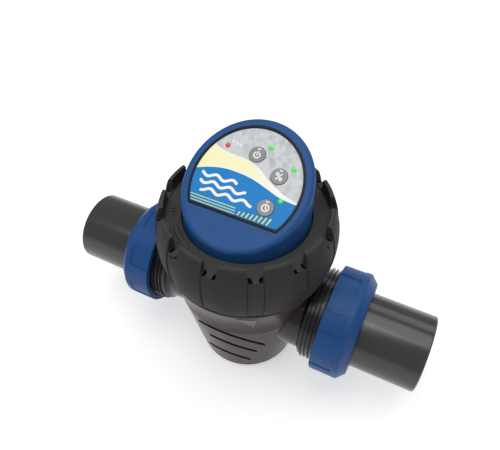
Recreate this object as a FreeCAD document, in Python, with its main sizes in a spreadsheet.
import FreeCAD, Part
import math
import os
import re

import Sketcher

# Salt chlorine generator: a smoked flow-through cell with a union on each side, a screw-down
# lock ring, and a lift-out head that carries the electrodes, the electronics and a sloped panel.
# Frame: +Z up, X along the pipe, the panel slopes down towards -Y, z = 0 under the cell's foot.

Vector = FreeCAD.Vector
Rotation = FreeCAD.Rotation
Placement = FreeCAD.Placement

os.makedirs("parts", exist_ok=True)
doc = FreeCAD.newDocument("salt_chlorine_generator")

# ---------------------------------------------------------------- driving dimensions (mm, degrees)

DIMENSIONS = {
    "Cell": {
        "axis_height": 68.0,
        "foot_radius": 34.0,
        "bowl_low_radius": 41.2,
        "bowl_low_height": 8.0,
        "waist_radius": 54.2,
        "waist_height": 80.0,
        "shoulder_radius": 61.6,
        "shoulder_height": 114.0,
        "neck_radius": 57.5,
        "neck_base": 117.0,
        "neck_top": 138.0,
        "neck_bore": 54.0,
        "cell_wall": 4.0,
        "gill_width": 2.0,
        "gill_depth": 1.0,
    },
    "Unions": {
        "port_radius": 35.0,
        "port_bore": 24.5,
        "port_end": 84.0,
        "port_crest": 36.7,
        "port_neck_radius": 31.6,
        "port_root": 40.0,
        "port_thread_start": 59.0,
        "union_pitch": 3.0,
        "seal_radius": 29.5,
        "seal_thickness": 3.2,
        "nut_radius": 42.0,
        "nut_face": 70.0,
        "nut_shoulder": 90.8,
        "nut_end": 96.9,
        "nut_bore": 37.1,
        "nut_hole": 30.8,
        "nut_recess": 0.6,
        "nut_recess_angle": 22.5,
        "tail_radius": 29.0,
        "tail_face": 84.3,
        "tail_collar": 90.5,
        "tail_collar_radius": 35.0,
        "tail_end": 145.0,
        "socket_radius": 25.1,
        "socket_depth": 31.0,
        "tail_bore": 21.5,
    },
    "Ring": {
        "ring_bottom": 118.0,
        "ring_bottom_radius": 63.0,
        "ring_barrel_radius": 70.73,
        "ring_top": 164.0,
        "ring_top_radius": 60.0,
        "ring_bore": 60.4,
        "ring_plate_low": 149.4,
        "ring_plate_top": 153.5,
        "ring_hole": 45.4,
        "ring_rim_inner": 57.0,
        "ring_rim_top_inner": 56.5,
        "neck_pitch": 6.0,
        "neck_crest": 60.0,
        "ring_crest": 58.0,
        "neck_thread_start": 120.5,
        "gap_half_width": 5.3,
        "gap_floor": 154.5,
        "tongue_half_width": 2.1,
        "tongue_curve": 3.0,
        "slot_floor": 147.4,
        "gap_angle": 301.0,
        "gap_count": 13,
        "flute_angle": 10.0,
        "flute_depth": 1.2,
    },
    "Head": {
        "carrier_low": 124.0,
        "carrier_plate": 4.0,
        "carrier_seat": 138.3,
        "carrier_top": 145.0,
        "carrier_radius": 57.0,
        "spigot_radius": 53.6,
        "carrier_cup": 47.5,
        "oring_height": 132.0,
        "oring_thickness": 2.6,
        "cap_base": 146.2,
        "cap_flange_top": 149.0,
        "cap_flange_radius": 56.8,
        "cap_radius": 44.7,
        "cap_draft": 0.8,
        "cap_wall": 3.0,
        "cap_edge": 3.6,
        "panel_height": 182.6,
        "panel_tilt": 25.8,
        "screw_circle": 53.2,
        "gland_height": 173.0,
        "gland_seat": 45.0,
        "gland_tube": 6.0,
        "gland_bore": 3.5,
        "gland_across": 14.0,
    },
    "Panel": {
        "panel_radius": 38.4,
        "panel_centre": -2.3,
        "panel_chord": -24.2,
        "bezel_width": 1.6,
        "recess_depth": 1.5,
        "key_radius": 5.6,
        "key_travel": 0.5,
        "lens_radius": 1.7,
        "power_key_x": -1.0,
        "power_key_s": 19.2,
        "output_key_x": 18.8,
        "output_key_s": 9.3,
        "timer_key_x": 18.8,
        "timer_key_s": -13.4,
        "lens_offset": 7.3,
        "salt_lens_x": -22.8,
        "salt_lens_s": 19.3,
        "board_depth": 11.2,
        "board_thickness": 1.6,
        "power_board_low": 150.0,
    },
    "Electrodes": {
        "plate_width": 60.0,
        "plate_thickness": 1.0,
        "plate_pitch": 4.6,
        "plate_low": 30.0,
        "plate_top": 112.0,
        "busbar_low": 118.0,
        "busbar_x": 20.0,
        "stud_radius": 2.5,
    },
}

sheet = doc.addObject("Spreadsheet::Sheet", "Dimensions")
row = 1
for group, cells in DIMENSIONS.items():
    sheet.set(f"A{row}", group)
    row += 1
    for alias, number in cells.items():
        sheet.set(f"A{row}", alias.replace("_", " "))
        sheet.set(f"B{row}", str(number))
        sheet.setAlias(f"B{row}", alias)
        row += 1
doc.recompute()

D = {alias: number for cells in DIMENSIONS.values() for alias, number in cells.items()}


def expr(text):
    """An expression over the sheet: every alias in the text becomes a reference to its cell."""
    return re.sub("[a-z_]+", lambda word: reference(word.group()), str(text))


def reference(word):
    return f"Dimensions.{word}" if word in D else word


def value(text):
    """The number that an expression gives now."""
    result = sheet.evalExpression(expr(text))
    return float(getattr(result, "Value", result))


def bind(item, prop, text):
    item.setExpression(prop, expr(text))


# ---------------------------------------------------------------- helpers



def new_body(label):
    body = doc.addObject("PartDesign::Body", label)
    body.Label = label
    return body


def datum(body, role):
    """One of a body's own origin planes or axes, such as XZ_Plane or Z_Axis."""
    return [item for item in body.Origin.OriginFeatures if item.Role == role][0]


def new_sketch(body, name, role, shift=None, turn=None):
    """A sketch on an origin plane; shift binds the offset along x, y or z; turn is a rotation."""
    sketch = body.newObject("Sketcher::SketchObject", name)
    sketch.AttachmentSupport = (datum(body, role), [""])
    sketch.MapMode = "FlatFace"
    if turn is not None:
        sketch.AttachmentOffset = Placement(Vector(), turn)
    for axis, text in (shift or {}).items():
        bind(sketch, f"AttachmentOffset.Base.{axis}", text)
    return sketch


def add_loop(sketch, corners, closed=True):
    """A closed outline, or an open path. A corner is (x, y), or (x, y, radius) where the side
    that leaves it is an arc: a positive radius turns left, a negative one turns right."""
    first = sketch.GeometryCount
    count = len(corners)
    spots = [Vector(value(corner[0]), value(corner[1]), 0) for corner in corners]
    ends = []
    sides = count if closed else count - 1
    for index, corner in enumerate(corners[:sides]):
        here = spots[index]
        there = spots[(index + 1) % count]
        if len(corner) == 3:
            radius = value(corner[2])
            sketch.addGeometry(arc_between(here, there, radius), False)
            ends.append((1, 2) if radius > 0 else (2, 1))
        else:
            sketch.addGeometry(Part.LineSegment(here, there), False)
            ends.append((1, 2))
    for index in range(sides if closed else sides - 1):
        after = (index + 1) % count
        meeting = (first + index, ends[index][1], first + after, ends[after][0])
        sketch.addConstraint(Sketcher.Constraint("Coincident", *meeting))
    for index, corner in enumerate(corners):
        spot = spots[index]
        last = index == sides
        side = first + index - last
        near = ends[index - last][1 if last else 0]
        mark = f"{first + index}"
        fix(sketch, Sketcher.Constraint("DistanceX", -1, 1, side, near, spot.x), f"x{mark}", corner[0])
        fix(sketch, Sketcher.Constraint("DistanceY", -1, 1, side, near, spot.y), f"y{mark}", corner[1])
        if len(corner) == 3:
            size = abs(value(corner[2]))
            fix(sketch, Sketcher.Constraint("Radius", side, size), f"r{side}", f"abs({corner[2]})")


def fix(sketch, constraint, name, text):
    number = sketch.addConstraint(constraint)
    sketch.renameConstraint(number, name)
    if re.search("[a-z]{3}", str(text)):
        bind(sketch, f"Constraints.{name}", text)


def arc_between(here, there, radius):
    """The short arc from one point to another, turning left (positive radius) or right."""
    middle = (here + there) * 0.5
    half = (there - here) * 0.5
    left = Vector(-half.y, half.x, 0).normalize()
    rise = math.sqrt(radius ** 2 - half.Length ** 2)
    centre = middle + left * (rise if radius > 0 else -rise)
    start, end = (here, there) if radius > 0 else (there, here)
    angles = [math.atan2(spot.y - centre.y, spot.x - centre.x) for spot in (start, end)]
    return Part.ArcOfCircle(Part.Circle(centre, Vector(0, 0, 1), abs(radius)), *angles)


def add_circle(sketch, x, y, radius):
    number = sketch.addGeometry(Part.Circle(Vector(value(x), value(y), 0), Vector(0, 0, 1), value(radius)))
    fix(sketch, Sketcher.Constraint("DistanceX", -1, 1, number, 3, value(x)), f"x{number}", x)
    fix(sketch, Sketcher.Constraint("DistanceY", -1, 1, number, 3, value(y)), f"y{number}", y)
    fix(sketch, Sketcher.Constraint("Radius", number, value(radius)), f"r{number}", radius)


def lathe(body, name, *loops, axis="V_Axis", cut=False, shift=None, sweep=360, turn=None):
    """Turns outlines in the XZ plane about the sketch's own axis, to add or to cut."""
    sketch = new_sketch(body, name + "_profile", "XZ_Plane", shift, turn)
    for corners in loops:
        add_loop(sketch, corners)
    doc.recompute()
    kind = "PartDesign::Groove" if cut else "PartDesign::Revolution"
    feature = body.newObject(kind, name)
    feature.Profile = sketch
    feature.ReferenceAxis = (sketch, [axis])
    feature.Midplane = sweep != 360
    bind(feature, "Angle", sweep)
    settle(body)
    return feature


def thread(body, name, base, crest, start, widths, pitch, height, axis="V_Axis", shift=None):
    """A helical ridge from base to crest radius; widths are its widths there."""
    wide, narrow = widths
    lean = (wide - narrow) / 2
    ridge = [
        (base, f"{start}"),
        (crest, f"{start} + {lean}"),
        (crest, f"{start} + {lean + narrow}"),
        (base, f"{start} + {wide}"),
    ]
    if axis == "H_Axis":
        ridge = [(y, x) for x, y in ridge]
    sketch = new_sketch(body, name + "_profile", "XZ_Plane", shift)
    add_loop(sketch, ridge)
    doc.recompute()
    feature = body.newObject("PartDesign::AdditiveHelix", name)
    feature.Profile = sketch
    feature.ReferenceAxis = (sketch, [axis])
    feature.Mode = "pitch-height-angle"
    bind(feature, "Pitch", pitch)
    bind(feature, "Height", height)
    settle(body)
    return feature


def pad(body, name, sketch, length, cut=False, reverse=False, draft=0, midplane=False):
    kind = "PartDesign::Pocket" if cut else "PartDesign::Pad"
    feature = body.newObject(kind, name)
    feature.Profile = sketch
    bind(feature, "Length", length)
    feature.Reversed = reverse
    feature.Midplane = midplane
    feature.TaperAngle = draft
    settle(body)
    return feature


def pattern(body, name, features, axis, count):
    """Repeats features evenly round one of the body's origin axes."""
    feature = body.newObject("PartDesign::PolarPattern", name)
    feature.Originals = features
    feature.Axis = (datum(body, axis), [""])
    feature.Angle = 360
    bind(feature, "Occurrences", count)
    body.Tip = feature
    settle(body)
    return feature


def soften(body, name, kind, keep, size):
    """Fillets or chamfers the tip's edges that the keep test picks."""
    tip = body.Tip
    edges = [f"Edge{i + 1}" for i, edge in enumerate(tip.Shape.Edges) if keep(edge)]
    feature = body.newObject(f"PartDesign::{kind}", name)
    feature.Base = (tip, edges)
    bind(feature, "Radius" if kind == "Fillet" else "Size", size)
    settle(body)
    return feature


def settle(body):
    """Recomputes, and stops if the body's last feature failed or changed nothing."""
    doc.recompute()
    tip = body.Tip
    if tip is None or tip.Shape.isNull() or not tip.Shape.isValid() or "Invalid" in tip.State:
        raise RuntimeError(f"{body.Label}: {tip.Label if tip else 'no tip'} failed")
    base = getattr(tip, "BaseFeature", None)
    if base is not None and abs(base.Shape.Volume - tip.Shape.Volume) < 1e-3:
        raise RuntimeError(f"{body.Label}: {tip.Label} changed nothing")


def primitive(kind, label, at=None, turn=None, **sizes):
    """A Part primitive; sizes and the place are bound to the sheet."""
    item = doc.addObject(f"Part::{kind}", label)
    item.Label = label
    if turn is not None:
        item.Placement = Placement(Vector(), turn)
    for prop, text in sizes.items():
        bind(item, prop, text)
    for axis, text in zip("xyz", at or ()):
        bind(item, f"Placement.Base.{axis}", text)
    return item


def combine(kind, label, *items):
    """Cut, Common, MultiFuse or Compound of objects."""
    item = doc.addObject(f"Part::{kind}", label)
    item.Label = label
    if kind == "Compound":
        item.Links = list(items)
    elif kind in ("MultiFuse", "MultiCommon"):
        item.Shapes = list(items)
    else:
        item.Base, item.Tool = items
    return item


def place(item, z=None, turn=None):
    """Stands an object on a height, turned."""
    if turn is not None:
        item.Placement = Placement(Vector(), turn)
    if z is not None:
        bind(item, "Placement.Base.z", z)


NODES = []


def node(item):
    """Marks a finished piece: its label names its file."""
    NODES.append(item)
    return item


def height_of(edge):
    return edge.BoundBox.ZMin, edge.BoundBox.ZMax


HALF_TURN = Rotation(Vector(0, 0, 1), 180)
QUARTER = Rotation(Vector(0, 1, 0), 90)
TILT = Rotation(Vector(1, 0, 0), D["panel_tilt"])


# ---------------------------------------------------------------- the cell

GILLS = ((-17.5, 33, 75.9), (-9.5, 27, 54.7), (-15.5, 21, 29.0))


def gills():
    """Three fine moulded lines on the bowl's front: leaning cuts that only reach skin depth."""
    skin = new_body("gill_skin")
    lathe(skin, "skin", [
        ("bowl_low_radius - gill_depth", "bowl_low_height"),
        ("bowl_low_radius + 2", "bowl_low_height"),
        ("waist_radius + 2", "waist_height", -90),
        ("shoulder_radius + 2", "shoulder_height"),
        ("shoulder_radius - gill_depth", "shoulder_height", 90),
        ("waist_radius - gill_depth", "waist_height"),
    ])
    lean = "asin((waist_radius - bowl_low_radius) / (waist_height - bowl_low_height))"
    blades = []
    for left, right, level in GILLS:
        front = f"-bowl_low_radius - ({level} - bowl_low_height) * tan({lean})"
        blades.append(primitive("Box", "gill_blade", turn=Rotation(Vector(1, 0, 0), -55.6),
                                Length=f"{right - left}", Width="44", Height="gill_width",
                                at=(f"{left}", f"{front} - 3", f"{level} + 4.4")))
    return combine("Common", "gill_lines", skin, combine("MultiFuse", "gill_blades", *blades))


def bowl_form(label):
    """The cell's bowl as a filled form, without its ports."""
    body = new_body(label)
    lathe(body, label + "_bowl", [
        (0, 0),
        ("foot_radius", 0, 8.2),
        ("bowl_low_radius", "bowl_low_height"),
        ("waist_radius", "waist_height", -90),
        ("shoulder_radius", "shoulder_height", 3.2),
        ("shoulder_radius - 2.4", "neck_base"),
        ("neck_radius", "neck_base"),
        ("neck_radius", "neck_top - 0.8"),
        ("neck_radius - 0.8", "neck_top"),
        (0, "neck_top"),
    ])
    return body


def cell_housing():
    body = bowl_form("cell_body")
    thread(body, "neck_thread", "neck_radius - 0.3", "neck_crest", "neck_thread_start",
           (2.6, 1.2), "neck_pitch", 12)
    lathe(body, "chamber", [
        (0, "cell_wall"),
        ("foot_radius - 3", "cell_wall", 6.5),
        ("bowl_low_radius - cell_wall", "bowl_low_height + 3"),
        ("waist_radius - cell_wall", "waist_height + 1"),
        ("waist_radius - 2.6", "neck_base - 22"),
        ("neck_bore", "neck_base - 4"),
        ("neck_bore", "neck_top - 1.2"),
        ("neck_bore + 1.2", "neck_top + 0.5"),
        (0, "neck_top + 0.5"),
    ], cut=True)
    lathe(body, "flow_openings", [
        ("-shoulder_radius", 0),
        ("shoulder_radius", 0),
        ("shoulder_radius", "port_bore"),
        ("-shoulder_radius", "port_bore"),
    ], axis="H_Axis", cut=True, shift={"y": "axis_height"})
    return node(combine("Cut", "cell_housing", body, gills()))


def cell_port(name, turn):
    """A threaded spigot with a narrower neck, its root shaped to the bowl that it is welded to."""
    body = new_body(f"cell_port_{name}_spigot")
    lathe(body, "spigot", [
        ("port_root", "port_bore"),
        ("port_end", "port_bore"),
        ("port_end", "seal_radius - seal_thickness / 2 - 0.3"),
        ("port_end - seal_thickness - 0.1", "seal_radius - seal_thickness / 2 - 0.3"),
        ("port_end - seal_thickness - 0.1", "seal_radius + seal_thickness / 2 + 0.3"),
        ("port_end", "seal_radius + seal_thickness / 2 + 0.3"),
        ("port_end", "port_radius - 0.8"),
        ("port_end - 0.8", "port_radius"),
        ("port_thread_start - 1", "port_radius", -6),
        ("port_thread_start - 4", "port_neck_radius"),
        ("port_root", "port_neck_radius"),
    ], axis="H_Axis")
    thread(body, "port_thread", "port_radius - 0.3", "port_crest", "port_thread_start",
           (1.3, 0.5), "union_pitch", 21, axis="H_Axis")
    place(body, "axis_height", turn)
    return node(combine("Cut", f"cell_port_{name}", body, bowl_form(f"port_{name}_root")))


def port_seal(name, side):
    seal = primitive("Torus", f"port_seal_{name}", turn=QUARTER, Radius1="seal_radius",
                     Radius2="seal_thickness / 2",
                     at=(f"{side}(port_end - seal_thickness / 2)", "0", "axis_height"))
    return node(seal)


def union_tail(name, turn):
    body = new_body(f"union_tail_{name}")
    lathe(body, "tube", [
        ("tail_face", "tail_bore"),
        ("tail_end - socket_depth", "tail_bore"),
        ("tail_end - socket_depth", "socket_radius"),
        ("tail_end - 1", "socket_radius"),
        ("tail_end", "socket_radius + 1"),
        ("tail_end", "tail_radius - 0.8"),
        ("tail_end - 0.8", "tail_radius"),
        ("tail_collar + 1.5", "tail_radius", 1.5),
        ("tail_collar", "tail_radius + 1.4"),
        ("tail_collar", "tail_collar_radius - 0.6"),
        ("tail_collar - 0.6", "tail_collar_radius"),
        ("tail_face", "tail_collar_radius"),
    ], axis="H_Axis")
    place(body, "axis_height", turn)
    return node(body)


def union_nut(name, turn):
    body = new_body(f"union_nut_{name}")
    lathe(body, "blank", [
        ("nut_face", "nut_bore + 0.8"),
        ("nut_face + 0.8", "nut_bore"),
        ("nut_shoulder + 0.2", "nut_bore"),
        ("nut_shoulder + 0.2", "nut_hole"),
        ("nut_end - 0.6", "nut_hole"),
        ("nut_end", "nut_hole + 0.6"),
        ("nut_end", "nut_radius - 6.6", 1.6),
        ("nut_end - 1", "nut_radius - 5"),
        ("nut_shoulder + 0.6", "nut_radius - 0.4", 1.5),
        ("nut_shoulder - 0.6", "nut_radius"),
        ("nut_face + 0.8", "nut_radius", 0.8),
        ("nut_face", "nut_radius - 0.8"),
    ], axis="H_Axis")
    recess = lathe(body, "grip_recess", [
        ("nut_face - 1", "nut_radius - nut_recess"),
        ("nut_shoulder - 4.5", "nut_radius - nut_recess"),
        ("nut_shoulder - 4", "nut_radius + 1"),
        ("nut_face - 1", "nut_radius + 1"),
    ], axis="H_Axis", cut=True, sweep="nut_recess_angle", turn=Rotation(Vector(1, 0, 0), -6.25))
    pattern(body, "grip_recesses", [recess], "X_Axis", 8)
    thread(body, "nut_thread", "nut_bore + 0.3", "nut_bore - 1.6", "nut_face + 2.5",
           (1.3, 0.5), "union_pitch", 9, axis="H_Axis")
    place(body, "axis_height", turn)
    return node(body)


# ---------------------------------------------------------------- the lock ring

def lock_ring():
    body = new_body("lock_ring")
    lathe(body, "barrel", [
        ("ring_bore", "ring_bottom"),
        ("ring_bottom_radius - 0.8", "ring_bottom"),
        ("ring_bottom_radius", "ring_bottom + 0.8", "ring_barrel_radius"),
        ("ring_top_radius", "ring_top - 0.8"),
        ("ring_top_radius - 1", "ring_top"),
        ("ring_rim_top_inner + 0.4", "ring_top"),
        ("ring_rim_inner", "ring_plate_top + 0.6"),
        ("ring_rim_inner - 0.6", "ring_plate_top"),
        ("ring_hole + 0.5", "ring_plate_top"),
        ("ring_hole", "ring_plate_top - 0.5"),
        ("ring_hole", "ring_plate_low"),
        ("ring_bore", "ring_plate_low"),
    ])
    turn = Rotation(Vector(0, 0, 1), D["gap_angle"])
    gap = new_sketch(body, "gap_outline", "XY_Plane", {"z": "ring_top + 1"}, turn)
    add_loop(gap, [
        ("ring_rim_inner - 3", "-gap_half_width"),
        ("ring_barrel_radius", "-gap_half_width"),
        ("ring_barrel_radius", "gap_half_width"),
        ("ring_rim_inner - 3", "gap_half_width"),
    ])
    doc.recompute()
    gap_cut = pad(body, "gap", gap, "ring_top + 1 - gap_floor", cut=True)
    pits = new_sketch(body, "pit_outline", "XY_Plane", {"z": "gap_floor + 1"}, turn)
    slots = new_sketch(body, "slot_outline", "XY_Plane", {"z": "gap_floor + 1"}, turn)
    for side, bend in (("", "-tongue_curve"), ("-", "tongue_curve")):
        outer_end = [
            ("ring_barrel_radius", f"{side}(gap_half_width - 0.4)"),
            ("ring_barrel_radius", f"{side}tongue_half_width"),
        ]
        add_loop(pits, [
            ("ring_rim_inner", f"{side}(gap_half_width - 0.4)"),
            *outer_end,
            ("ring_top_radius - 0.4", f"{side}tongue_half_width", bend),
        ])
        add_loop(slots, [
            ("ring_bore + 1.4", f"{side}(gap_half_width - 0.4)"),
            *outer_end,
            ("ring_bore + 1.4", f"{side}tongue_half_width"),
        ])
    doc.recompute()
    pit_cut = pad(body, "pits", pits, "gap_floor - ring_plate_low + 0.2", cut=True)
    slot_cut = pad(body, "slots", slots, "gap_floor + 1 - slot_floor", cut=True)
    flute = lathe(body, "flute", [
        ("ring_bottom_radius - flute_depth", "ring_bottom - 1", "ring_barrel_radius"),
        ("ring_bottom_radius + 0.2 - flute_depth", "gap_floor + 1"),
        ("ring_barrel_radius", "gap_floor + 1"),
        ("ring_barrel_radius", "ring_bottom - 1"),
    ], cut=True, sweep="flute_angle", turn=Rotation(Vector(0, 1, 0), D["gap_angle"]))
    pattern(body, "castellations", [gap_cut, pit_cut, slot_cut, flute], "Z_Axis", "gap_count")
    thread(body, "ring_thread", "ring_bore + 0.3", "ring_crest", "neck_thread_start + neck_pitch / 2",
           (2.6, 1.2), "neck_pitch", 12)
    return node(body)


# ---------------------------------------------------------------- the head

def electrode_carrier():
    body = new_body("electrode_carrier")
    lathe(body, "cup", [
        (0, "carrier_low"),
        ("spigot_radius - 1", "carrier_low"),
        ("spigot_radius", "carrier_low + 1"),
        ("spigot_radius", "oring_height - 1.8"),
        ("spigot_radius - 2.6", "oring_height - 1.8"),
        ("spigot_radius - 2.6", "oring_height + 1.8"),
        ("spigot_radius", "oring_height + 1.8"),
        ("spigot_radius", "carrier_seat"),
        ("carrier_radius", "carrier_seat"),
        ("carrier_radius", "carrier_top"),
        ("carrier_cup", "carrier_top"),
        ("carrier_cup", "carrier_low + carrier_plate"),
        (0, "carrier_low + carrier_plate"),
    ])
    holes = new_sketch(body, "stud_holes_outline", "XY_Plane", {"z": "carrier_low + carrier_plate"})
    for side in ("", "-"):
        add_circle(holes, f"{side}busbar_x", "0", "stud_radius + 0.1")
    add_circle(holes, "0", "30", "4.1")
    doc.recompute()
    pad(body, "stud_holes", holes, "carrier_plate", cut=True)
    screw_holes = new_sketch(body, "screw_holes_outline", "XY_Plane", {"z": "carrier_top"})
    add_screw_circles(screw_holes, "1.5")
    doc.recompute()
    pad(body, "screw_holes", screw_holes, 5, cut=True)
    return node(body)


SCREW_ANGLES = [30 + 60 * step for step in range(6)]


def add_screw_circles(sketch, radius):
    for angle in SCREW_ANGLES:
        x = f"screw_circle * cos({angle} deg)"
        y = f"screw_circle * sin({angle} deg)"
        add_circle(sketch, x, y, radius)


def carrier_oring():
    ring = primitive("Torus", "carrier_oring", Radius1="neck_bore - 0.1 - oring_thickness / 2",
                     Radius2="oring_thickness / 2", at=("0", "0", "oring_height"))
    return node(ring)


def cap_gasket():
    outside = primitive("Cylinder", "gasket_outside", Radius="carrier_cup + 3",
                        Height="cap_base - carrier_top", at=("0", "0", "carrier_top"))
    inside = primitive("Cylinder", "gasket_inside", Radius="carrier_cup + 0.8",
                       Height="cap_base - carrier_top", at=("0", "0", "carrier_top"))
    return node(combine("Cut", "cap_gasket", outside, inside))


def cap_screws():
    screws = []
    for angle in SCREW_ANGLES:
        spot = [f"screw_circle * cos({angle} deg)", f"screw_circle * sin({angle} deg)"]
        shank = primitive("Cylinder", "screw_shank", Radius="1.5", Height="6.4",
                          at=(*spot, "cap_base - 5.4"))
        head = primitive("Cone", "screw_head", Radius1="1.5", Radius2="2.7", Height="1.5",
                         at=(*spot, "cap_base + 1"))
        rim = primitive("Cylinder", "screw_rim", Radius="2.7", Height="0.3", at=(*spot, "cap_base + 2.5"))
        slot = primitive("Box", "screw_slot", Length="6", Width="0.7", Height="1",
                         at=(f"{spot[0]} - 3", f"{spot[1]} - 0.35", "cap_base + 2.1"))
        blank = combine("MultiFuse", "screw_blank", shank, head, rim)
        screws.append(combine("Cut", "screw", blank, slot))
    return node(combine("Compound", "cap_screws", *screws))


def on_panel(x, s, depth):
    """A point given by its place on the sloped panel, x across and s up the slope, and its
    depth below the panel's face."""
    tilt = "panel_tilt * 1 deg"
    return (
        f"{x}",
        f"({s}) * cos({tilt}) + ({depth}) * sin({tilt})",
        f"panel_height + ({s}) * sin({tilt}) - ({depth}) * cos({tilt})",
    )


def post(label, x, s, top, bottom, radius):
    """A round post square to the panel, between two depths below its face."""
    return primitive("Cylinder", label, at=on_panel(x, s, bottom), turn=TILT,
                     Radius=radius, Height=f"({bottom}) - ({top})")


def panel_slab(label, top, bottom, inset):
    """A D-shaped plate in the panel's slope: a round disc in plan, cut by the chord."""
    disc = primitive("Cylinder", label + "_disc", Radius=f"panel_radius - ({inset})",
                     Height="120", at=("0", "panel_centre", "panel_height - 60"))
    layer = primitive("Box", label + "_layer", turn=TILT, Length="120", Width="160",
                      Height=f"({bottom}) - ({top})", at=on_panel("-60", "-80", bottom))
    half = primitive("Box", label + "_half", Length="120", Width="100", Height="160",
                     at=("-60", f"panel_chord + ({inset})", "panel_height - 80"))
    return combine("MultiCommon", label + "_slab", disc, layer, half)


def lens_places():
    return {
        "salt": ("salt_lens_x", "salt_lens_s"),
        "power": ("power_key_x + lens_offset", "power_key_s + lens_offset"),
        "output": ("output_key_x + lens_offset", "output_key_s + lens_offset"),
        "timer": ("timer_key_x + lens_offset", "timer_key_s + lens_offset"),
    }


KEYS = ("power", "output", "timer")


def key_place(name):
    return f"{name}_key_x", f"{name}_key_s"


def cap_form(label, inset):
    """The cap's outer form, or the form of its inside: a drafted round post with its top cut
    on the panel's slope and its top edge rounded."""
    body = new_body(label)
    base = new_sketch(body, label + "_outline", "XY_Plane", {"z": "cap_base"})
    add_circle(base, "0", "0", f"cap_radius - {inset}")
    doc.recompute()
    pad(body, label + "_cone", base, "62", draft=-D["cap_draft"])
    slope = new_sketch(body, label + "_slope", "YZ_Plane")
    level = f"panel_height - {inset} / cos(panel_tilt * 1 deg)"
    rise = "80 * tan(panel_tilt * 1 deg)"
    add_loop(slope, [
        ("-80", f"{level} - {rise}"),
        ("80", f"{level} + {rise}"),
        ("80", f"{level} + 90"),
        ("-80", f"{level} + 90"),
    ])
    doc.recompute()
    pad(body, label + "_top", slope, "200", cut=True, midplane=True)
    edge_level = D["cap_base"] + 5
    soften(body, label + "_round", "Fillet", lambda edge: height_of(edge)[1] > edge_level
           and edge.Length > 100, f"cap_edge - {inset}")
    return body


TOWARDS_Y = Rotation(Vector(1, 0, 0), -90)


def along_y(label, start, end, radius):
    """A round bar along Y at the cable gland's height."""
    return primitive("Cylinder", label, turn=TOWARDS_Y, Radius=radius, Height=f"({end}) - ({start})",
                     at=("0", start, "gland_height"))


def hexagon_y(label, start, end, across):
    """A hexagonal bar along Y at the cable gland's height, with a flat at its top and bottom."""
    return primitive("Prism", label, turn=TOWARDS_Y, Circumradius=f"({across}) / sqrt(3)",
                     Height=f"({end}) - ({start})", at=("0", start, "gland_height"))


def head_cap():
    body = cap_form("cap_outside", "0")
    lathe(body, "cap_flange", [
        (0, "cap_base"),
        ("cap_flange_radius", "cap_base"),
        ("cap_flange_radius", "cap_flange_top"),
        (0, "cap_flange_top"),
    ])
    for name, radius, depth in (("screw_clearance", "1.6", "3"), ("screw_sink", "2.8", "1.9")):
        holes = new_sketch(body, name + "_outline", "XY_Plane", {"z": "cap_flange_top"})
        add_screw_circles(holes, radius)
        doc.recompute()
        pad(body, name, holes, depth, cut=True)
    boss = along_y("gland_boss", "cap_radius - 8", "gland_seat", "8.4")
    outside = combine("Fuse", "cap_with_boss", body, boss)
    cuts = [cap_form("cap_inside", "cap_wall"), panel_slab("recess", "-3", "recess_depth", "0")]
    for name in KEYS:
        cuts.append(post(f"{name}_key_hole", *key_place(name), "-1", "cap_wall + 2", "key_radius + 0.4"))
    for name, spot in lens_places().items():
        cuts.append(post(f"{name}_lens_hole", *spot, "-1", "cap_wall + 2", "lens_radius + 0.1"))
    cuts.append(along_y("gland_hole", "cap_radius - 12", "gland_seat + 1", "gland_tube + 0.1"))
    return node(combine("Cut", "head_cap", outside, combine("MultiFuse", "cap_openings", *cuts)))


def panel_bezel():
    whole = panel_slab("bezel_whole", "-0.5", "recess_depth", "0.05")
    middle = panel_slab("bezel_middle", "-1", "recess_depth + 1", "bezel_width")
    return node(combine("Cut", "panel_bezel", whole, middle))


def panel_overlay():
    sheet_plate = panel_slab("overlay_sheet", "0.2", "recess_depth", "bezel_width")
    holes = [post(f"{name}_key_window", *key_place(name), "-1", "3", "key_radius + 0.35") for name in KEYS]
    for name, spot in lens_places().items():
        holes.append(post(f"{name}_lens_window", *spot, "-1", "3", "lens_radius + 0.05"))
    return node(combine("Cut", "panel_overlay", sheet_plate, combine("MultiFuse", "overlay_holes", *holes)))


def status_lens(name, spot):
    """A light pipe from the display board to a domed end just proud of the overlay."""
    pipe = post(f"{name}_pipe", *spot, "0", "board_depth - board_thickness", "lens_radius")
    dome = primitive("Sphere", f"{name}_dome", at=on_panel(*spot, "1.6"), turn=TILT,
                     Radius="sqrt(lens_radius ^ 2 + 1.6 ^ 2)", Angle1="0")
    sleeve = post(f"{name}_sleeve", *spot, "-3", "1.6", "lens_radius")
    cap = combine("MultiCommon", f"{name}_dome_end", dome, sleeve)
    return node(combine("MultiFuse", f"{name}_lens", pipe, cap))


def panel_key(name):
    """A round key with a retaining flange behind the cap's wall and a stem that works a switch."""
    spot = key_place(name)
    button = post(f"{name}_button", *spot, "-key_travel", "cap_wall + 0.8", "key_radius")
    flange = post(f"{name}_flange", *spot, "cap_wall + 0.4", "cap_wall + 1.4", "key_radius + 0.9")
    stem = post(f"{name}_stem", *spot, "cap_wall + 1", "cap_wall + 2.1", "1.6")
    return node(combine("MultiFuse", f"{name}_key", button, flange, stem))


def display_board():
    board = panel_slab("display_blank", "board_depth - board_thickness", "board_depth", "5")
    notch = post("display_notch", "-14", "-8", "board_depth - 3", "board_depth + 2", "4")
    return node(combine("Cut", "display_board", board, notch))


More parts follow.
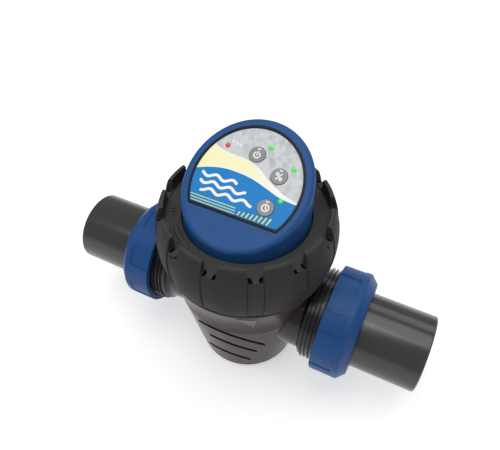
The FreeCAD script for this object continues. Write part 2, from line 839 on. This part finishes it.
def tact_switches():
    switches = []
    for name in KEYS:
        x, s = key_place(name)
        low = "board_depth - board_thickness"
        case = primitive("Box", "switch_case", turn=TILT, Length="6", Width="6", Height="2.6",
                         at=on_panel(f"{x} - 3", f"{s} - 3", low))
        plunger = post("switch_plunger", x, s, f"{low} - 3.5", f"{low} - 2.6", "1.7")
        switches.append(combine("MultiFuse", "switch", case, plunger))
    return node(combine("Compound", "tact_switches", *switches))


def display_pillars():
    """Four posts that hold the display board to the cap's underside."""
    posts = []
    for x, s in (("-27", "-14"), ("28.5", "2"), ("-27", "9"), ("-8", "29")):
        posts.append(post("display_pillar", x, s, "cap_wall", "board_depth - board_thickness", "2.2"))
    return node(combine("Compound", "display_pillars", *posts))


def gland_seal():
    washer = along_y("gland_washer", "gland_seat", "gland_seat + 0.8", "gland_across / 2")
    hole = along_y("gland_washer_hole", "gland_seat", "gland_seat + 0.8", "gland_tube + 0.1")
    return node(combine("Cut", "gland_seal", washer, hole))


def cable_gland():
    tube = along_y("gland_tube_inside", "gland_seat - 9", "gland_seat + 1", "gland_tube")
    collar = hexagon_y("gland_collar", "gland_seat + 0.8", "gland_seat + 4.8", "gland_across")
    nose = along_y("gland_nose", "gland_seat + 4.8", "gland_seat + 10", "gland_tube - 0.3")
    bore = along_y("gland_body_bore", "gland_seat - 10", "gland_seat + 11", "gland_bore")
    return node(combine("Cut", "cable_gland", combine("MultiFuse", "gland_solid", tube, collar, nose), bore))


def gland_nut():
    hexagon = hexagon_y("gland_nut_hexagon", "gland_seat + 5.1", "gland_seat + 14", "gland_across")
    dome = primitive("Sphere", "gland_nut_dome", Radius="9.6", at=("0", "gland_seat + 6", "gland_height"))
    room = along_y("gland_nut_room", "gland_seat + 5", "gland_seat + 10.4", "gland_tube - 0.2")
    mouth = along_y("gland_nut_mouth", "gland_seat + 10", "gland_seat + 16", "gland_bore + 0.1")
    shape = combine("Common", "gland_nut_blank", hexagon, dome)
    return node(combine("Cut", "gland_nut", shape, combine("Fuse", "gland_nut_bore", room, mouth)))


def gland_locknut():
    hexagon = hexagon_y("gland_locknut_hexagon", "gland_seat - 8.4", "gland_seat - 5", "gland_across")
    hole = along_y("gland_locknut_hole", "gland_seat - 9", "gland_seat - 4", "gland_tube + 0.05")
    return node(combine("Cut", "gland_locknut", hexagon, hole))


# ---------------------------------------------------------------- power electronics in the head

def power_board():
    board = primitive("Box", "board_blank", Length="64", Width="52", Height="board_thickness",
                      at=("-32", "-26", "power_board_low"))
    return node(combine("Cut", "power_board", board, board_pillar_set("board_hole", "1.2", "4", "-1")))


PILLARS = [(x, y) for x in (-27, 27) for y in (-21, 21)]


def board_pillar_set(label, radius, height, lift):
    """One upright round bar at each corner of the power board."""
    bars = []
    for x, y in PILLARS:
        bars.append(primitive("Cylinder", label, Radius=radius, Height=height,
                              at=(f"{x}", f"{y}", f"power_board_low + ({lift})")))
    return combine("Compound", label + "_set", *bars)


def board_pillars():
    tall = "power_board_low - carrier_low - carrier_plate"
    columns = []
    for x, y in PILLARS:
        column = primitive("Cylinder", "pillar", Radius="3", Height=tall,
                           at=(f"{x}", f"{y}", "carrier_low + carrier_plate"))
        columns.append(column)
    return node(combine("Compound", "board_pillars", *columns))


def board_screws():
    screws = []
    top = "power_board_low + board_thickness"
    for x, y in PILLARS:
        head = primitive("Cylinder", "board_screw_head", Radius="2.6", Height="1.8",
                         at=(f"{x}", f"{y}", top))
        shank = primitive("Cylinder", "board_screw_shank", Radius="1.15", Height="board_thickness",
                          at=(f"{x}", f"{y}", "power_board_low"))
        screws.append(combine("Fuse", "board_screw", head, shank))
    return node(combine("Compound", "board_screws", *screws))


def on_board(x, y, lift=0):
    return f"{x}", f"{y}", f"power_board_low + board_thickness + {lift}"


def power_inductor():
    return node(primitive("Torus", "power_inductor", Radius1="8", Radius2="3", at=on_board(-17, 2.6, 3)))


def filter_capacitors():
    cans = []
    for x, y in ((2, 3), (14, 3), (8, 15)):
        cans.append(primitive("Cylinder", "capacitor", Radius="5", Height="17", at=on_board(x, y)))
    return node(combine("Compound", "filter_capacitors", *cans))


def polarity_relays():
    """The relays that reverse the plates' polarity, which sheds their scale."""
    cases = []
    for x in (-24, -3):
        cases.append(primitive("Box", "relay", Length="19", Width="11", Height="7.6", at=on_board(x, -20)))
    return node(combine("Compound", "polarity_relays", *cases))


def heat_sink():
    block = primitive("Box", "sink_block", Length="24", Width="9", Height="17", at=on_board(-22, 14))
    slots = []
    for step in range(5):
        slots.append(primitive("Box", "sink_slot", Length="2.4", Width="7", Height="14",
                               at=on_board(-20 + 4.4 * step, 16.5, 4)))
    return node(combine("Cut", "heat_sink", block, combine("MultiFuse", "sink_slots", *slots)))


def terminal_block():
    case = primitive("Box", "block_case", Length="16", Width="9", Height="10", at=on_board(15, 8.6))
    wells = []
    for step in range(3):
        wells.append(primitive("Cylinder", "block_well", Radius="1.9", Height="6",
                               at=on_board(18 + 5 * step, 13.1, 5)))
    return node(combine("Cut", "terminal_block", case, combine("MultiFuse", "block_wells", *wells)))


def ribbon_cable():
    """A flat cable between the two boards, with a plug at its foot."""
    plug = primitive("Box", "ribbon_plug", Length="14", Width="5", Height="5", at=on_board(17, -12.5))
    body = new_body("ribbon_strip")
    side = new_sketch(body, "ribbon_side", "YZ_Plane", {"z": "18"})
    top = "panel_height - 10 * tan(panel_tilt * 1 deg) - board_depth / cos(panel_tilt * 1 deg) - 0.6"
    low = "power_board_low + board_thickness + 4.5"
    add_loop(side, [
        ("-10.4", low),
        ("-9.6", low),
        ("-9.6", top),
        ("-10.4", top),
    ])
    doc.recompute()
    pad(body, "ribbon", side, "12")
    return node(combine("Fuse", "ribbon_cable", plug, body))


# ---------------------------------------------------------------- electrodes

def electrode_plate(label, y, tab):
    """An expanded-metal plate's blank with one tab that meets its bus bar."""
    body = new_body(label)
    face = new_sketch(body, label + "_face", "XZ_Plane", {"z": f"-({y}) - plate_thickness / 2"})
    add_loop(face, [
        ("-plate_width / 2", "plate_low"),
        ("plate_width / 2", "plate_low"),
        ("plate_width / 2", "plate_top"),
        (f"{tab} * busbar_x + 6", "plate_top"),
        (f"{tab} * busbar_x + 6", "busbar_low"),
        (f"{tab} * busbar_x - 6", "busbar_low"),
        (f"{tab} * busbar_x - 6", "plate_top"),
        ("-plate_width / 2", "plate_top"),
    ])
    doc.recompute()
    pad(body, label + "_blank", face, "plate_thickness")
    return node(body)


def electrode_plates():
    """Seven plates across the flow; the anodes, at each end and between, join the +X bar."""
    numbers = {"anode": 0, "cathode": 0}
    for step in range(7):
        kind = "cathode" if step % 2 else "anode"
        numbers[kind] += 1
        tab = "-1" if step % 2 else "1"
        electrode_plate(f"{kind}_plate_{numbers[kind]}", f"{step - 3} * plate_pitch", tab)


def terminal(kind, turn):
    """A bus bar with its threaded stud, which passes up through the carrier."""
    bar = primitive("Box", f"{kind}_bar", Length="12", Width="32", Height="3",
                    at=("busbar_x - 6", "-16", "busbar_low"))
    collar = primitive("Cylinder", f"{kind}_collar", Radius="4.5", Height="carrier_low - busbar_low - 3",
                       at=("busbar_x", "0", "busbar_low + 3"))
    stud = primitive("Cylinder", f"{kind}_stud", Radius="stud_radius", Height="14",
                     at=("busbar_x", "0", "carrier_low - 1"))
    whole = combine("MultiFuse", f"{kind}_terminal", bar, collar, stud)
    place(whole, turn=turn)
    return node(whole)


def terminal_rings(label, make, base):
    """One washer or nut on each stud."""
    rings = []
    for side in ("", "-"):
        spot = (f"{side}busbar_x", "0", base)
        outside = make(spot)
        hole = primitive("Cylinder", label + "_hole", Radius="stud_radius + 0.05", Height="8", at=spot)
        rings.append(combine("Cut", label + "_ring", outside, hole))
    return node(combine("Compound", label, *rings))


def seal_blank(spot):
    return primitive("Cylinder", "terminal_seal", Radius="5", Height="1.2", at=spot)


def nut_blank(spot):
    return primitive("Prism", "terminal_nut", Circumradius="4.6", Height="3.4", at=spot)


def lead(kind, turn):
    """An insulated lead from a stud's lug up to the underside of the power board."""
    base = "carrier_low + carrier_plate + 4.6"
    lug_disc = primitive("Cylinder", f"{kind}_lug_disc", Radius="4.4", Height="0.8",
                         at=("busbar_x", "0", base))
    lug_hole = primitive("Cylinder", f"{kind}_lug_hole", Radius="stud_radius + 0.05", Height="0.8",
                         at=("busbar_x", "0", base))
    lug = combine("Cut", f"{kind}_lug", lug_disc, lug_hole)
    body = new_body(f"{kind}_wire")
    route = new_sketch(body, f"{kind}_route", "XZ_Plane")
    add_loop(route, [
        ("busbar_x + 3.4", f"{base} + 1.6"),
        ("busbar_x + 4.2", f"{base} + 1.6", 4),
        ("busbar_x + 8.2", f"{base} + 5.6"),
        ("busbar_x + 8.2", "power_board_low"),
    ], closed=False)
    section = new_sketch(body, f"{kind}_section", "YZ_Plane", {"z": "busbar_x + 3.4"})
    add_circle(section, "0", f"{base} + 1.6", "1.6")
    doc.recompute()
    pipe = body.newObject("PartDesign::AdditivePipe", f"{kind}_pipe")
    pipe.Profile = section
    pipe.Spine = (route, [])
    settle(body)
    whole = combine("Fuse", f"{kind}_lead", lug, body)
    place(whole, turn=turn)
    return node(whole)


def plate_combs():
    """Slotted bars that keep the plates apart: two under them, two on their upright edges."""
    return node(combine("Compound", "plate_combs", *[
        comb("foot_comb", "-25", "6", "plate_low - 5", "9", "-26", "8", "plate_low - 0.1"),
        comb("foot_comb", "19", "6", "plate_low - 5", "9", "18", "8", "plate_low - 0.1"),
        comb("side_comb", "-plate_width / 2 - 3", "6", "plate_top - 14", "8",
             "-plate_width / 2 - 0.1", "6", "plate_top - 16"),
        comb("side_comb", "plate_width / 2 - 3", "6", "plate_top - 14", "8",
             "plate_width / 2 - 5.9", "6", "plate_top - 16"),
    ]))


def comb(label, x, length, z, height, slot_x, slot_length, slot_z):
    """A bar along Y with one slot for each plate."""
    bar = primitive("Box", label + "_bar", Length=length, Width="7 * plate_pitch + 3", Height=height,
                    at=(x, "-3.5 * plate_pitch - 1.5", z))
    slots = []
    for step in range(7):
        low_y = f"{step - 3} * plate_pitch - plate_thickness / 2 - 0.1"
        slots.append(primitive("Box", label + "_slot", Length=slot_length, Width="plate_thickness + 0.2",
                               Height="12", at=(slot_x, low_y, slot_z)))
    return combine("Cut", label, bar, combine("MultiFuse", label + "_slots", *slots))


def flow_sensor():
    """A sealed probe that hangs through the carrier into the flow, with two short pins."""
    barrel = primitive("Cylinder", "sensor_barrel", Radius="4", Height="16",
                       at=("0", "30", "carrier_low - 12"))
    flange = primitive("Cylinder", "sensor_flange", Radius="6.5", Height="3",
                       at=("0", "30", "carrier_low + carrier_plate"))
    pins = []
    for side in (-1.8, 1.8):
        pins.append(primitive("Cylinder", "sensor_pin", Radius="0.8", Height="7",
                              at=(f"{side}", "30", "carrier_low - 18")))
    return node(combine("MultiFuse", "flow_sensor", barrel, flange, *pins))


# ---------------------------------------------------------------- checks and files

def write_nodes():
    doc.recompute()
    for item in doc.Objects:
        if "Invalid" in item.State or "Error" in item.State:
            raise RuntimeError(f"{item.Label} failed: {item.State}")
    for item in NODES:
        shape = item.Shape
        if shape.isNull() or not shape.isValid() or not shape.Solids:
            raise RuntimeError(f"{item.Label} has no valid solid")
        shape.exportStep(f"parts/{item.Label}.step")
        print(f"{item.Label}: {len(shape.Solids)} solid(s), {shape.Volume / 1000:.2f} cm3")


# ---------------------------------------------------------------- assembly

def build():
    cell_housing()
    port_seal("right", "")
    port_seal("left", "-")
    for side, turn in (("right", Rotation()), ("left", HALF_TURN)):
        cell_port(side, turn)
        union_tail(side, turn)
        union_nut(side, turn)
    lock_ring()
    electrode_carrier()
    carrier_oring()
    cap_gasket()
    cap_screws()
    head_cap()
    panel_bezel()
    panel_overlay()
    for name, spot in lens_places().items():
        status_lens(name, spot)
    for name in KEYS:
        panel_key(name)
    display_board()
    tact_switches()
    display_pillars()
    gland_seal()
    cable_gland()
    gland_nut()
    gland_locknut()
    power_board()
    board_pillars()
    board_screws()
    power_inductor()
    filter_capacitors()
    polarity_relays()
    heat_sink()
    terminal_block()
    ribbon_cable()
    electrode_plates()
    for kind, turn in (("anode", Rotation()), ("cathode", HALF_TURN)):
        terminal(kind, turn)
        lead(kind, turn)
    terminal_rings("terminal_seals", seal_blank, "carrier_low + carrier_plate")
    terminal_rings("terminal_nuts", nut_blank, "carrier_low + carrier_plate + 1.2")
    plate_combs()
    flow_sensor()


build()
write_nodes()
